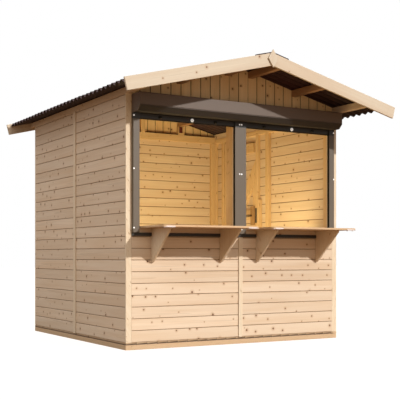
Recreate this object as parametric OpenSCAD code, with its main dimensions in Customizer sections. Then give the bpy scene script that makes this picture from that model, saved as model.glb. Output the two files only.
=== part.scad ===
// Wooden market stall. A boarded cabin stands on a floor frame. Its front has two serving
// openings under one roller shutter box, a counter board on brackets at each, and a door
// in the right-hand side. The roof is corrugated bitumen sheet on purlins.
// The origin is on the ground in the middle of the walls. The front faces -Y.

/* [Cabin] */
// Width of the walls along the front
stall_w = 2000; // [1900:10:2300]
// Depth of the walls from front to back
stall_d = 1970; // [1900:10:2300]
// Height of the side walls above the ground
wall_h = 1920; // [1915:5:2100]
// Thickness of the wall boards
board_t = 16; // [12:1:20]
// Depth of the side and rear wall frames behind the boards
stud_d = 34; // [30:1:44]
// Depth of the front wall's frame behind the boards
front_stud_d = 45; // [40:1:60]
// Width of each stud and rail of the wall frame
stud_w = 45; // [40:1:50]
// Width of the post in the middle of the side and rear walls
mid_post_w = 50; // [45:1:90]
// Width of the corner boards on the front and back
corner_w = 48; // [44:1:60]
// Width of the batten over the joint in each wall
batten_w = 46; // [30:1:60]
// Thickness of the joint battens
batten_t = 9; // [6:1:14]

/* [Floor] */
// Height of the bearers under the floor
bearer_h = 36; // [30:1:50]
// Width of each bearer
bearer_w = 45; // [40:1:60]
// Number of bearers under the floor boards
bearers = 5; // [3:2:7]
// Thickness of the floor boards
deck_t = 19; // [16:1:24]

/* [Serving front] */
// Width of the post between the serving openings
centre_post_w = 100; // [90:2:102]
// Depth of the post between the serving openings, with its facing
centre_post_d = 110; // [90:1:130]
// Height of the top of the lower front wall
sill_h = 913; // [880:1:940]
// Height of the underside of the shutter box
opening_h = 1776; // [1750:1:1790]
// Thickness of the counter boards
counter_t = 15; // [14:1:27]
// How far the counter boards stand out from the wall
counter_reach = 391; // [340:1:450]
// Radius of the counter's front corners
counter_r = 22; // [10:1:40]
// How far the counter brackets stand out from the wall
bracket_reach = 295; // [250:1:330]
// Height of the counter brackets
bracket_h = 258; // [200:1:300]
// Thickness of the counter brackets
bracket_t = 18; // [16:1:24]
// Length of the steel plate under each front corner of a counter
corner_plate = 90; // [60:1:120]

/* [Roller shutters] */
// How far the shutter box stands out from the wall
box_d = 137; // [125:1:165]
// Height of the top of the shutter box
box_top = 1912; // [1900:1:1914]
// Size of the slope on the lower front edge of the shutter box
box_slope = 37; // [20:1:50]
// Width of each guide rail
rail_w = 52; // [45:1:60]
// Depth of each guide rail
rail_d = 30; // [24:1:36]
// Height of the bottom slat of each shutter
slat_h = 47; // [40:1:60]
// Thickness of the bottom slats
slat_t = 12; // [10:1:16]
// Height of the bar along the sill
sill_bar_h = 26; // [20:1:40]
// How far the bar along the sill stands out
sill_bar_t = 12; // [8:1:16]

/* [Roof] */
// Pitch of the roof in degrees
roof_pitch = 14; // [11:0.5:17]
// How far the roof stands out in front
front_overhang = 472; // [380:1:560]
// How far the roof stands out behind
rear_overhang = 124; // [80:1:250]
// How far the barge boards stand out at each side
side_overhang = 236; // [180:1:300]
// Width of each purlin
purlin_w = 45; // [40:1:60]
// Height of each purlin
purlin_h = 48; // [44:1:70]
// Distance of the ridge purlins from the middle
ridge_purlin_x = 110; // [80:1:160]
// Distance of the middle purlins from the middle
middle_purlin_x = 545; // [450:1:600]
// Width of the barge boards
barge_w = 95; // [85:1:120]
// Thickness of the barge boards
barge_t = 18; // [16:1:24]
// Distance from wave to wave of the roof sheet
wave = 76; // [70:1:95]
// Height of the waves of the roof sheet
wave_h = 24; // [18:1:32]
// Thickness of the roof sheet
sheet_t = 3; // [2:0.5:4]

/* [Door] */
// Width of the door leaf
door_w = 570; // [540:5:600]
// Height of the door leaf
door_h = 1800; // [1700:1:1802]
// Gap all round the door leaf
door_gap = 6; // [6:0.5:8]
// Height of the middle of the lock above the ground
lock_h = 1095; // [950:5:1200]

/* [Hidden] */
$fn = 48;

// Main planes
half_w = stall_w / 2;
half_d = stall_d / 2;
floor_z = bearer_h + deck_t;
wall_t = board_t + stud_d;
in_x = half_w - wall_t;
in_y = half_d - wall_t;
front_in_y = half_d - board_t - front_stud_d;
centre_x = centre_post_w / 2;
board_x = half_w - board_t;
board_y = half_d - board_t;
face_x = half_w - corner_w;
seam = 2;
rail_low = floor_z + stud_w;
rail_high = wall_h - stud_w;
post_x = in_x - stud_w;
mid_post_y = -12;
rear_rail_rise = 22;
front_batten_x = 15;
front_batten_w = 38;

// Roof planes
slope = tan(roof_pitch);
eave_purlin_x = half_w - purlin_w / 2;
ridge_under = wall_h + purlin_h + slope * eave_purlin_x;
crest_rise = (wave_h + sheet_t) / cos(roof_pitch);
front_end = -half_d - front_overhang;
rear_end = half_d + rear_overhang;
sheet_front = front_end + barge_t;
sheet_rear = rear_end - barge_t;
barge_x = half_w + side_overhang;
sheet_inset = 41;
sheet_x = barge_x - sheet_inset;
roof_fit = 0.5;
ridge_gap = 6;
cap_x = 150;
cap_t = 3;
middle_gable_post_w = 70;
apex_half_w = 46;
apex_half_h = 70;
apex_t = 12;
apex_drop = 18;
apex_z = ridge_under - apex_drop;
function under_roof(x) = ridge_under - slope * abs(x);
function crest(x) = under_roof(x) + crest_rise;
function purlin_foot(x) = under_roof(x) - purlin_h;
function barge_top(x) = crest(x) - roof_fit;

// Serving front
sill_rail_h = 45;
header_h = 45;
rail_in_x = face_x - rail_w;
rail_mid = 1;
rail_out = rail_mid + rail_w;
counter_gap = 11;
counter_in = rail_out + counter_gap;
counter_out = rail_in_x - counter_gap;
slat_back_gap = 6;
slat_y = -half_d - slat_back_gap;
slat_fit = 1;
box_end_t = 4;
slat_middle = (rail_out + rail_in_x) / 2;
stopper_spread = 245;
stopper_r = 13;
stopper_t = 16;
lock_shift = 35;
shutter_lock_r = 13.5;
shutter_lock_t = 8;
sill_bar_drop = 60;
sill_bar_z = sill_h - sill_bar_drop;
bracket_inset = 108;
bracket_in = counter_in + bracket_inset;
bracket_out = counter_out - bracket_inset;
bracket_nose = 15;
bracket_foot = 18;
plate_t = 3;
plate_w = 40;
plate_back = 1;
plate_inset = 6;

// Door, hinged at its rear edge and opening outwards
door_rear = 755;
door_front = door_rear - door_w;
door_foot = floor_z + 2 * door_gap;
door_top = door_foot + door_h;
jamb_front = door_front - door_gap;
jamb_rear = door_rear + door_gap;
jamb_w = 34;
ledge_t = 28;
stile_w = 45;
stile_gap = 5;
stile_short = 10;
ledge_z = [door_foot + 60, lock_h - 35, door_top - 150];
ledge_h = 95;
brace_rise = 1.35;
brace_foot_w = 137;
brace_heads = [856, 1637];
hinge_out = 9;
hinge_x = half_w + hinge_out;
hinge_y = door_rear + door_gap / 2;
hinge_end = 130;
hinge_z = [door_foot + hinge_end, (door_foot + door_top) / 2, door_top - hinge_end];
knuckle_r = 6;
knuckle_h = 24;
pin_r = 3;
pin_fit = 0.1;
knuckle_gap = 0.5;
strap_l = 260;
strap_h = 34;
strap_t = 4;
lock_w = 60;
lock_t = 15;
lock_tall = 185;
keep_w = 18;
keep_t = 6;
keep_tall = 146;
keep_gap = 4;
lock_post_t = 28;
lock_post_top = 1250;
handle_l = 115;
handle_r = 8;
handle_w = 20;
handle_t = 9;
handle_out = 38;
handle_in = 50;

// A box between two opposite corners
module block(low, high) {
  translate(low)
    cube(high - low);
}

// The same children on both sides of the middle
module both_sides() {
  children();
  mirror([1, 0, 0])
    children();
}

// An outline drawn in X and Z, as a plate from y0 to y1
module xz_plate(outline, y0, y1) {
  translate([0, y1, 0])
    rotate([90, 0, 0])
      linear_extrude(y1 - y0)
        polygon(outline);
}

// An outline drawn in Y and Z, as a plate from x0 to x1
module yz_plate(outline, x0, x1) {
  translate([x0, 0, 0])
    rotate([90, 0, 90])
      linear_extrude(x1 - x0)
        polygon(outline);
}

// Floor
module base_side_rails() {
  color("tan")
    both_sides()
      block([half_w - bearer_w, -half_d, 0], [half_w, half_d, bearer_h]);
}

module base_bearers() {
  step = (stall_d - bearer_w) / (bearers - 1);
  color("tan")
    for (i = [0:bearers - 1]) {
      y = -half_d + i * step;
      block([bearer_w - half_w, y, 0], [half_w - bearer_w, y + bearer_w, bearer_h]);
    }
}

module floor_deck() {
  color("burlywood")
    block([-half_w, -half_d, bearer_h], [half_w, half_d, floor_z]);
}

// Side walls: outer boards, studs and rails
module side_boards(x0, x1, y0, y1) {
  block([x0, y0, floor_z], [x1, y1, wall_h]);
}

module side_post(x0, x1, y, w) {
  block([x0, y - w / 2, rail_low], [x1, y + w / 2, rail_high]);
}

module left_wall_boards() {
  color("burlywood") {
    side_boards(-half_w, -board_x, -board_y, -seam);
    side_boards(-half_w, -board_x, seam, board_y);
  }
}

module left_wall_posts() {
  color("tan") {
    for (y = [stud_w / 2 - board_y, board_y - stud_w / 2])
      side_post(-board_x, -in_x, y, stud_w);
    side_post(-board_x, -in_x, mid_post_y, mid_post_w);
  }
}

module left_wall_rails() {
  color("tan") {
    block([-board_x, -board_y, floor_z], [-in_x, board_y, rail_low]);
    block([-board_x, -board_y, rail_high], [-in_x, board_y, wall_h]);
  }
}

module right_wall_boards() {
  color("burlywood") {
    side_boards(board_x, half_w, -board_y, -seam);
    side_boards(board_x, half_w, seam, jamb_front);
    side_boards(board_x, half_w, jamb_rear, board_y);
  }
}

module right_wall_over_door() {
  color("burlywood")
    block([board_x, jamb_front, door_top + door_gap], [half_w, jamb_rear, wall_h]);
}

module right_wall_posts() {
  color("tan") {
    for (y = [stud_w / 2 - board_y, board_y - stud_w / 2])
      side_post(in_x, board_x, y, stud_w);
    side_post(in_x, board_x, mid_post_y, mid_post_w);
    side_post(in_x, board_x, jamb_front - jamb_w / 2, jamb_w);
    side_post(in_x, board_x, jamb_rear + stud_w / 2, stud_w);
  }
}

module right_wall_rails() {
  color("tan") {
    block([in_x, -board_y, floor_z], [board_x, jamb_front, rail_low]);
    block([in_x, jamb_rear, floor_z], [board_x, board_y, rail_low]);
    block([in_x, -board_y, rail_high], [board_x, board_y, wall_h]);
  }
}

// Rear wall
module rear_wall_boards() {
  color("burlywood")
    both_sides()
      block([seam, board_y, floor_z], [face_x, half_d, wall_h]);
}

module rear_wall_posts() {
  color("tan") {
    both_sides()
      block([post_x, in_y, rail_low], [in_x, board_y, rail_high]);
    block([-mid_post_w / 2, in_y, rail_low], [mid_post_w / 2, board_y, rail_high]);
  }
}

module rear_wall_rails() {
  color("tan") {
    block([-in_x, in_y, floor_z], [in_x, board_y, rail_low]);
    block([-in_x, in_y, rail_high], [in_x, board_y, wall_h + rear_rail_rise]);
  }
}

// Front wall: boarded below the sill, open above it
module front_wall_boards() {
  color("burlywood")
    both_sides()
      block([seam, -half_d, floor_z], [face_x, -board_y, sill_h]);
}

module front_post_facings() {
  color("burlywood") {
    both_sides()
      block([post_x, -half_d, sill_h], [face_x, -board_y, opening_h]);
    block([-centre_x, -half_d, sill_h], [centre_x, -board_y, opening_h]);
  }
}

module front_wall_posts() {
  color("tan") {
    both_sides()
      block([post_x, -board_y, rail_low], [in_x, -front_in_y, rail_high]);
    block([-centre_x, -board_y, rail_low], [centre_x, centre_post_d - half_d, rail_high]);
  }
}

module front_wall_rails() {
  color("tan") {
    block([-in_x, -board_y, floor_z], [in_x, -front_in_y, rail_low]);
    block([-in_x, -board_y, rail_high], [in_x, -front_in_y, wall_h]);
    both_sides() {
      block([centre_x, -board_y, sill_h - sill_rail_h], [post_x, -front_in_y, sill_h]);
      block([centre_x, -board_y, opening_h], [post_x, -front_in_y, opening_h + header_h]);
    }
  }
}

module corner_boards() {
  color("navajowhite")
    both_sides() {
      block([face_x, -half_d, floor_z], [half_w, -board_y, wall_h]);
      block([face_x, board_y, floor_z], [half_w, half_d, wall_h]);
    }
}

module joint_battens() {
  color("navajowhite") {
    block([front_batten_x - front_batten_w / 2, -half_d - batten_t, floor_z],
      [front_batten_x + front_batten_w / 2, -half_d, sill_bar_z]);
    block([-batten_w / 2, half_d, floor_z], [batten_w / 2, half_d + batten_t, wall_h]);
    both_sides()
      block([half_w, -batten_w / 2, floor_z], [half_w + batten_t, batten_w / 2, wall_h]);
  }
}

// Gables, notched over the purlins
module gable(y0, y1, foot) {
  outline = [
    [-face_x, foot], [face_x, foot], [face_x, under_roof(face_x)],
    [0, ridge_under], [-face_x, under_roof(face_x)],
  ];
  difference() {
    xz_plate(outline, y0, y1);
    both_sides()
      for (x = [ridge_purlin_x, middle_purlin_x])
        block(
          [x - purlin_w / 2, y0 - 1, purlin_foot(x)],
          [x + purlin_w / 2, y1 + 1, ridge_under + 1]
        );
  }
}

module front_gable() {
  color("peru")
    gable(-half_d, -board_y, opening_h);
}

module rear_gable() {
  color("peru")
    gable(board_y, half_d, wall_h);
}

module gable_post(x, w) {
  top = purlin_foot(x) - roof_fit;
  block([x - w / 2, -board_y, wall_h], [x + w / 2, -in_y, top]);
  block([x - w / 2, in_y, wall_h + rear_rail_rise], [x + w / 2, board_y, top]);
}

module gable_posts() {
  color("tan")
    both_sides() {
      gable_post(ridge_purlin_x, stud_w);
      gable_post(middle_purlin_x, middle_gable_post_w);
    }
}

// Purlins, planed to the slope on top
module purlin_pair(x) {
  a = x - purlin_w / 2;
  b = x + purlin_w / 2;
  foot = purlin_foot(x);
  color("sienna")
    both_sides()
      xz_plate([[a, foot], [b, foot], [b, under_roof(b)], [a, under_roof(a)]],
        sheet_front, sheet_rear);
}

module ridge_purlins() {
  purlin_pair(ridge_purlin_x);
}

module middle_purlins() {
  purlin_pair(middle_purlin_x);
}

module eave_purlins() {
  purlin_pair(eave_purlin_x);
}

// Corrugated sheets, with their waves running down the slope
module roof_sheets() {
  parts = 6;
  length = sheet_rear - sheet_front;
  count = floor(parts * length / wave);
  ys = [for (i = [0:count]) length * i / count];
  function rise(y) = wave_h * (1 - cos(360 * y / wave)) / 2;
  upper = [for (y = ys) [sheet_front + y, rise(y) + sheet_t]];
  lower = [for (i = [count:-1:0]) [sheet_front + ys[i], rise(ys[i])]];
  color("#2a1a1c")
    both_sides()
      translate([0, 0, ridge_under])
        rotate([0, roof_pitch, 0])
          yz_plate(concat(upper, lower), ridge_gap, sheet_x / cos(roof_pitch));
}

module ridge_cap() {
  rise = cap_t / cos(roof_pitch);
  outline = [
    [-cap_x, crest(cap_x)], [0, crest(0)], [cap_x, crest(cap_x)],
    [cap_x, crest(cap_x) + rise], [0, crest(0) + rise], [-cap_x, crest(cap_x) + rise],
  ];
  color("#3a1a20")
    xz_plate(outline, front_end, rear_end);
}

// Barge boards, cut plumb at the apex and square at the foot
module barge_pair(y0, y1) {
  drop = barge_w / cos(roof_pitch);
  outline = [
    [seam / 2, barge_top(seam / 2)],
    [barge_x, barge_top(barge_x)],
    [barge_x - barge_w * sin(roof_pitch), barge_top(barge_x) - barge_w * cos(roof_pitch)],
    [seam / 2, barge_top(seam / 2) - drop],
  ];
  color("navajowhite")
    both_sides()
      xz_plate(outline, y0, y1);
}

module front_barge_boards() {
  barge_pair(front_end, sheet_front);
}

module rear_barge_boards() {
  barge_pair(sheet_rear, rear_end);
}

module apex_plates() {
  outline = [
    [0, apex_z - apex_half_h], [apex_half_w, apex_z],
    [0, apex_z + apex_half_h], [-apex_half_w, apex_z],
  ];
  color("wheat") {
    xz_plate(outline, front_end - apex_t, front_end);
    xz_plate(outline, rear_end, rear_end + apex_t);
  }
}

// Roller shutter box, guides and bottom slats
box_outline = [
  [-half_d, opening_h], [-half_d, box_top], [-half_d - box_d, box_top],
  [-half_d - box_d, opening_h + box_slope], [-half_d - box_d + box_slope, opening_h],
];

module shutter_box() {
  color("#4a4440")
    yz_plate(box_outline, box_end_t - face_x, face_x - box_end_t);
}

module shutter_box_ends() {
  color("#3c3734")
    both_sides()
      yz_plate(box_outline, face_x - box_end_t, face_x);
}

module guide_rails() {
  rail_y = -half_d - rail_d;
  foot = sill_bar_z + sill_bar_h;
  color("#80766b")
    both_sides() {
      block([rail_in_x, rail_y, foot], [face_x, -half_d, opening_h]);
      block([rail_mid, rail_y, foot], [rail_out, -half_d, opening_h]);
    }
}

module shutter_bottom_slats() {
  color("#1f1d1c")
    both_sides()
      block([rail_out + slat_fit, slat_y - slat_t, opening_h - slat_h],
        [rail_in_x - slat_fit, slat_y, opening_h]);
}

// A round fitting on the front of a bottom slat
module slat_disc(x, r, t) {
  translate([x, slat_y - slat_t, opening_h - slat_h / 2])
    rotate([90, 0, 0])
      cylinder(r = r, h = t);
}

module shutter_stoppers() {
  color("#141414")
    both_sides()
      for (x = [slat_middle - stopper_spread, slat_middle + stopper_spread])
        slat_disc(x, stopper_r, stopper_t);
}

module shutter_locks() {
  color("gainsboro")
    for (x = [-slat_middle, slat_middle])
      slat_disc(x + lock_shift, shutter_lock_r, shutter_lock_t);
}

module sill_bar() {
  color("#1f1d1c")
    block([-face_x, -half_d - sill_bar_t, sill_bar_z],
      [face_x, -half_d, sill_bar_z + sill_bar_h]);
}

// Counters and their brackets
module counter_boards() {
  front = -half_d - counter_reach;
  color("wheat")
    both_sides()
      translate([0, 0, sill_h])
        linear_extrude(counter_t)
          union() {
            translate([counter_in, front + counter_r])
              square([counter_out - counter_in, -front_in_y - front - counter_r]);
            translate([counter_in + counter_r, front])
              square([counter_out - counter_in - 2 * counter_r, counter_r]);
            for (x = [counter_in + counter_r, counter_out - counter_r])
              translate([x, front + counter_r])
                circle(r = counter_r);
          }
}

module counter_brackets() {
  foot = sill_h - bracket_h;
  outline = [
    [-half_d, foot], [-half_d, sill_h], [-half_d - bracket_reach, sill_h],
    [-half_d - bracket_reach, sill_h - bracket_nose], [-half_d - bracket_foot, foot],
  ];
  color("tan")
    both_sides()
      for (x = [bracket_in, bracket_out])
        difference() {
          yz_plate(outline, x - bracket_t / 2, x + bracket_t / 2);
          block([x - bracket_t, -half_d - sill_bar_t, sill_bar_z],
            [x + bracket_t, 1 - half_d, sill_bar_z + sill_bar_h]);
        }
}

module counter_corner_plates() {
  front = -half_d - counter_reach + plate_back;
  color("silver")
    both_sides()
      for (x = [counter_in + plate_inset, counter_out - plate_inset - corner_plate])
        block([x, front, sill_h - plate_t], [x + corner_plate, front + plate_w, sill_h]);
}

// Door leaf: boards outside, stiles, ledges and braces inside
module door_boards() {
  color("burlywood")
    block([board_x, door_front, door_foot], [half_w, door_rear, door_top]);
}

module door_stiles() {
  low = door_foot + stile_short;
  high = door_top - stile_short;
  front = door_front + stile_gap;
  cut = brace_heads[1] - brace_rise * brace_foot_w;
  rear = door_rear - stile_gap - stile_w;
  outline = [[front, low], [front + stile_w, low], [front + stile_w, cut - brace_rise * stile_w], [front, cut]];
  color("tan") {
    yz_plate(outline, board_x - ledge_t, board_x);
    block([board_x - ledge_t, rear, low], [board_x, rear + stile_w, high]);
  }
}

module door_ledges() {
  color("tan")
    for (z = ledge_z)
      block([board_x - ledge_t, door_front + stile_gap + stile_w, z],
        [board_x, door_rear - stile_gap - stile_w, z + ledge_h]);
}

module door_braces() {
  color("tan")
    for (i = [0, 1]) {
      front = door_front + stile_gap + (1 - i) * stile_w;
      foot = ledge_z[i] + ledge_h;
      reach = (brace_heads[i] - foot) / brace_rise;
      outline = [
        [front, brace_heads[i] - brace_rise * brace_foot_w], [front, brace_heads[i]],
        [front + reach, foot], [front + reach - brace_foot_w, foot],
      ];
      yz_plate(outline, board_x - ledge_t, board_x);
    }
}

// Hinges: a strap on the door and a plate with the pin on the wall
module door_hinge_straps() {
  color("silver")
    for (z = hinge_z)
      difference() {
        union() {
          block([half_w, hinge_y - strap_l, z - strap_h / 2],
            [half_w + strap_t, door_rear - knuckle_r, z + strap_h / 2]);
          block([half_w + strap_t / 2, door_rear - knuckle_r - 1, z - knuckle_h / 2],
            [hinge_x, hinge_y, z + knuckle_h / 2]);
          translate([hinge_x, hinge_y, z - knuckle_h / 2])
            cylinder(r = knuckle_r, h = knuckle_h);
        }
        translate([hinge_x, hinge_y, z - strap_h])
          cylinder(r = pin_r + pin_fit, h = 2 * strap_h);
      }
}

module door_hinge_plates() {
  reach = knuckle_h / 2 + knuckle_gap;
  plate_y = jamb_rear + knuckle_r;
  color("silver")
    for (z = hinge_z) {
      translate([hinge_x, hinge_y, z - reach - knuckle_h / 2])
        cylinder(r = pin_r, h = 2 * reach + knuckle_h);
      for (low = [z - reach - knuckle_h / 2, z + reach])
        union() {
          translate([hinge_x, hinge_y, low])
            cylinder(r = knuckle_r, h = knuckle_h / 2);
          block([half_w, hinge_y, low], [hinge_x, plate_y + 1, low + knuckle_h / 2]);
        }
      block([half_w, plate_y, z - reach - knuckle_h / 2],
        [half_w + strap_t, plate_y + stud_w, z + reach + knuckle_h / 2]);
    }
}

// Rim lock inside, a lever on each face, the keep on the jamb, and a post beside it
module door_lock() {
  front = door_front + 2 * stile_gap;
  inner = board_x - ledge_t;
  color("silver")
    block([inner - lock_t, front, lock_h - lock_tall / 2],
      [inner, front + lock_w, lock_h + lock_tall / 2]);
}

module door_handles() {
  y = door_front + handle_in;
  inner = board_x - ledge_t - lock_t;
  spans = [[half_w, half_w + handle_out], [inner - handle_out, inner]];
  bars = [half_w + handle_out, inner - handle_out];
  color("gainsboro")
    for (i = [0, 1])
      union() {
        translate([spans[i][0], y, lock_h])
          rotate([0, 90, 0])
            cylinder(r = handle_r, h = spans[i][1] - spans[i][0]);
        block([bars[i] - handle_t / 2, y - handle_w / 2, lock_h - handle_w / 2],
          [bars[i] + handle_t / 2, y + handle_l, lock_h + handle_w / 2]);
      }
}

module lock_keep() {
  color("dimgray")
    block([in_x - keep_t, jamb_front - keep_gap - keep_w, lock_h - keep_tall / 2],
      [in_x, jamb_front - keep_gap, lock_h + keep_tall / 2]);
}

module lock_side_post() {
  y = jamb_front - jamb_w - lock_post_t;
  color("tan")
    block([in_x, y, rail_low], [board_x, y + lock_post_t, lock_post_top]);
}

base_side_rails();
base_bearers();
floor_deck();
left_wall_boards();
left_wall_posts();
left_wall_rails();
right_wall_boards();
right_wall_over_door();
right_wall_posts();
right_wall_rails();
rear_wall_boards();
rear_wall_posts();
rear_wall_rails();
front_wall_boards();
front_post_facings();
front_wall_posts();
front_wall_rails();
corner_boards();
joint_battens();
front_gable();
rear_gable();
gable_posts();
ridge_purlins();
middle_purlins();
eave_purlins();
roof_sheets();
ridge_cap();
front_barge_boards();
rear_barge_boards();
apex_plates();
shutter_box();
shutter_box_ends();
guide_rails();
shutter_bottom_slats();
shutter_stoppers();
shutter_locks();
sill_bar();
counter_boards();
counter_brackets();
counter_corner_plates();
door_boards();
door_stiles();
door_ledges();
door_braces();
door_hinge_straps();
door_hinge_plates();
door_lock();
door_handles();
lock_keep();
lock_side_post();
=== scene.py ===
import math
import random

import bmesh
import bpy
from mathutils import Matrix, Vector


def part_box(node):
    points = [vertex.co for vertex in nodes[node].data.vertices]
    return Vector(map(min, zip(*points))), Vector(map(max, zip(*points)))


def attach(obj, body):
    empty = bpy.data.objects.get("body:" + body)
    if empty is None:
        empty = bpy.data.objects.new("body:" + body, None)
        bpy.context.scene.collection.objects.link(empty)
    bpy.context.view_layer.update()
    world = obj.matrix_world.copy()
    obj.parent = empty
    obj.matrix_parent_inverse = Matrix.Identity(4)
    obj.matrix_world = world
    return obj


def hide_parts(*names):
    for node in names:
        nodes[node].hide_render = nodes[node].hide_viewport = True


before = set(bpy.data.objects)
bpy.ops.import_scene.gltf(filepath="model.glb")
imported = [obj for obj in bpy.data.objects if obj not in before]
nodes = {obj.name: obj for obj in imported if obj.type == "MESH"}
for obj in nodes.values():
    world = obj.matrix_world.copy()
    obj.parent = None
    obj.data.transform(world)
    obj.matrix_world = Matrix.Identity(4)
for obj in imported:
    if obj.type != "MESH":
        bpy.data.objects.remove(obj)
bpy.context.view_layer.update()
chance = random.Random(88)
tiny = 1e-6  # metres, under any real gap

# shader tools


def fromHex(code):
    # a colour as written in paint programs, in linear light
    parts = [int(code[i:i + 2], 16) / 255 for i in (1, 3, 5)]
    return tuple(p / 12.92 if p <= 0.04045 else ((p + 0.055) / 1.055) ** 2.4 for p in parts)


class Wire:
    # wraps a socket, so that sums on it add Math nodes, or Vector Math nodes on a vector
    def __init__(self, paint, socket):
        self.paint = paint
        self.socket = socket

    def sum(self, operation, first, second):
        vector = "VECTOR" in [w.socket.type for w in (first, second) if isinstance(w, Wire)]
        if vector:
            first, second = [(v, v, v) if isinstance(v, (int, float)) else v for v in (first, second)]
        kind = "VectorMath" if vector else "Math"
        return self.paint.node(kind, {"operation": operation}, {0: first, 1: second})

    def __add__(self, other):
        return self.sum("ADD", self, other)

    def __radd__(self, other):
        return self.sum("ADD", other, self)

    def __sub__(self, other):
        return self.sum("SUBTRACT", self, other)

    def __rsub__(self, other):
        return self.sum("SUBTRACT", other, self)

    def __mul__(self, other):
        return self.sum("MULTIPLY", self, other)

    def __pow__(self, other):
        return self.sum("POWER", self, other)

    def __lt__(self, other):
        return self.sum("LESS_THAN", self, other)


class Recipe:
    # adds nodes to one node tree
    def __init__(self, tree):
        self.nodes = tree.nodes
        self.links = tree.links

    def plug(self, socket, value):
        if isinstance(value, Wire):
            self.links.new(value.socket, socket)
        elif socket.type == "RGBA":
            socket.default_value = (*value, 1)
        else:
            socket.default_value = value

    def node(self, kind, settings, sockets, output=0):
        made = self.nodes.new("ShaderNode" + kind)
        for label, value in settings.items():
            setattr(made, label, value)
        for label, value in sockets.items():
            self.plug(made.inputs[label], value)
        return Wire(self, made.outputs[output])

    def attribute(self, name, output="Vector"):
        return self.node("Attribute", {"attribute_name": name}, {}, output)

    def here(self):
        return self.node("TexCoord", {}, {}, "Object")

    def noise(self, place, scale, detail=2.0, roughness=0.5, output="Fac"):
        sockets = {"Vector": place, "Scale": scale, "Detail": detail, "Roughness": roughness}
        return self.node("TexNoise", {}, sockets, output)

    def cells(self, place, output="Distance", scale=1.0, flat=True):
        settings = {"voronoi_dimensions": "2D" if flat else "3D"}
        return self.node("TexVoronoi", settings, {"Vector": place, "Scale": scale}, output)

    def parts(self, vector):
        return [self.node("SeparateXYZ", {}, {0: vector}, i) for i in range(3)]

    def join(self, x, y, z):
        return self.node("CombineXYZ", {}, {0: x, 1: y, 2: z})

    def mix(self, share, first, second, blend="MIX"):
        settings = {"data_type": "RGBA", "blend_type": blend}
        return self.node("Mix", settings, {0: share, 6: first, 7: second}, 2)

    def ease(self, value, low, high, atLow=0.0, atHigh=1.0):
        settings = {"interpolation_type": "SMOOTHSTEP"}
        sockets = {0: value, 1: low, 2: high, 3: atLow, 4: atHigh}
        return self.node("MapRange", settings, sockets)

    def shade(self, value, low, high):
        # a value turned into a grey that multiplies a colour
        return self.node("MapRange", {}, {0: value, 3: low, 4: high})


class Paint(Recipe):
    # one material, built round its Principled shader
    def __init__(self, name, **sockets):
        self.material = bpy.data.materials.new(name)
        self.material.use_nodes = True
        super().__init__(self.material.node_tree)
        self.surface = self.nodes["Principled BSDF"]
        for label, value in sockets.items():
            self.plug(self.surface.inputs[label.replace("_", " ")], value)

    def relief(self, height, strength, distance):
        bump = self.node("Bump", {}, {"Height": height, "Strength": strength, "Distance": distance})
        self.plug(self.surface.inputs["Normal"], bump)

    def colour(self, value):
        self.plug(self.surface.inputs["Base Color"], value)

    def rough(self, value):
        self.plug(self.surface.inputs["Roughness"], value)


# finishes

softwood = {
    "ringWidth": 0.0042, "knotCell": 0.096, "knotShare": 0.54, "knotSize": 0.0034, "knotSpread": 0.006,
    "knotWobble": 0.0035, "knotEdge": (0.001, 0.0012), "knotShade": 0.92, "haloReach": 3.4,
    "haloShade": 0.45, "ringShade": 0.13, "streakShade": 0.5, "grooveShade": 0.94, "boardSpread": 0.1,
    "relief": 0.35,
    # how finely each pattern repeats along, across and through a board
    "swayScale": (0.8, 3.0, 3.0), "ringScale": (2.5, 40.0, 40.0), "streakScale": (1.3, 24.0, 24.0),
    "patchScale": (0.9, 6.0, 6.0), "fibreScale": (14.0, 480.0, 480.0),
    # share of the cells that hold a knot, where it isn't knotShare
    "clearTones": {"barge": 0.24, "gable": 0.42, "trim": 0.36, "counter": 0.4},
}
toneParts = ("pale", "deep", "knot", "halo", "groove")
woodTones = {
    "wall": ("#dcc7ae", "#c8a57d", "#55321a", "#a9794a", "#694322"),
    "trim": ("#e2d0b5", "#d1b28c", "#6a4124", "#b38857", "#5c3d22"),
    "barge": ("#c9baa4", "#ba9e80", "#6a4124", "#a37b52", "#5c3d22"),
    # painted light: the gable tone is paler and warmer than the wall tone, standing in for warm light
    # bounced under the roof
    "gable": ("#f2d2a2", "#dcb27a", "#43250f", "#96683a", "#1f1008"),
    "purlin": ("#b58c66", "#976e4a", "#3c2412", "#714a28", "#2a180c"),
    "frame": ("#dcbd90", "#c49a68", "#55321a", "#a27544", "#4a2f1a"),
    "counter": ("#cfb08a", "#bb9066", "#6a4226", "#b08252", "#4a2c16"),
    "floor": ("#d2b490", "#b88f64", "#5e381e", "#98703f", "#3a2614"),
}


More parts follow.
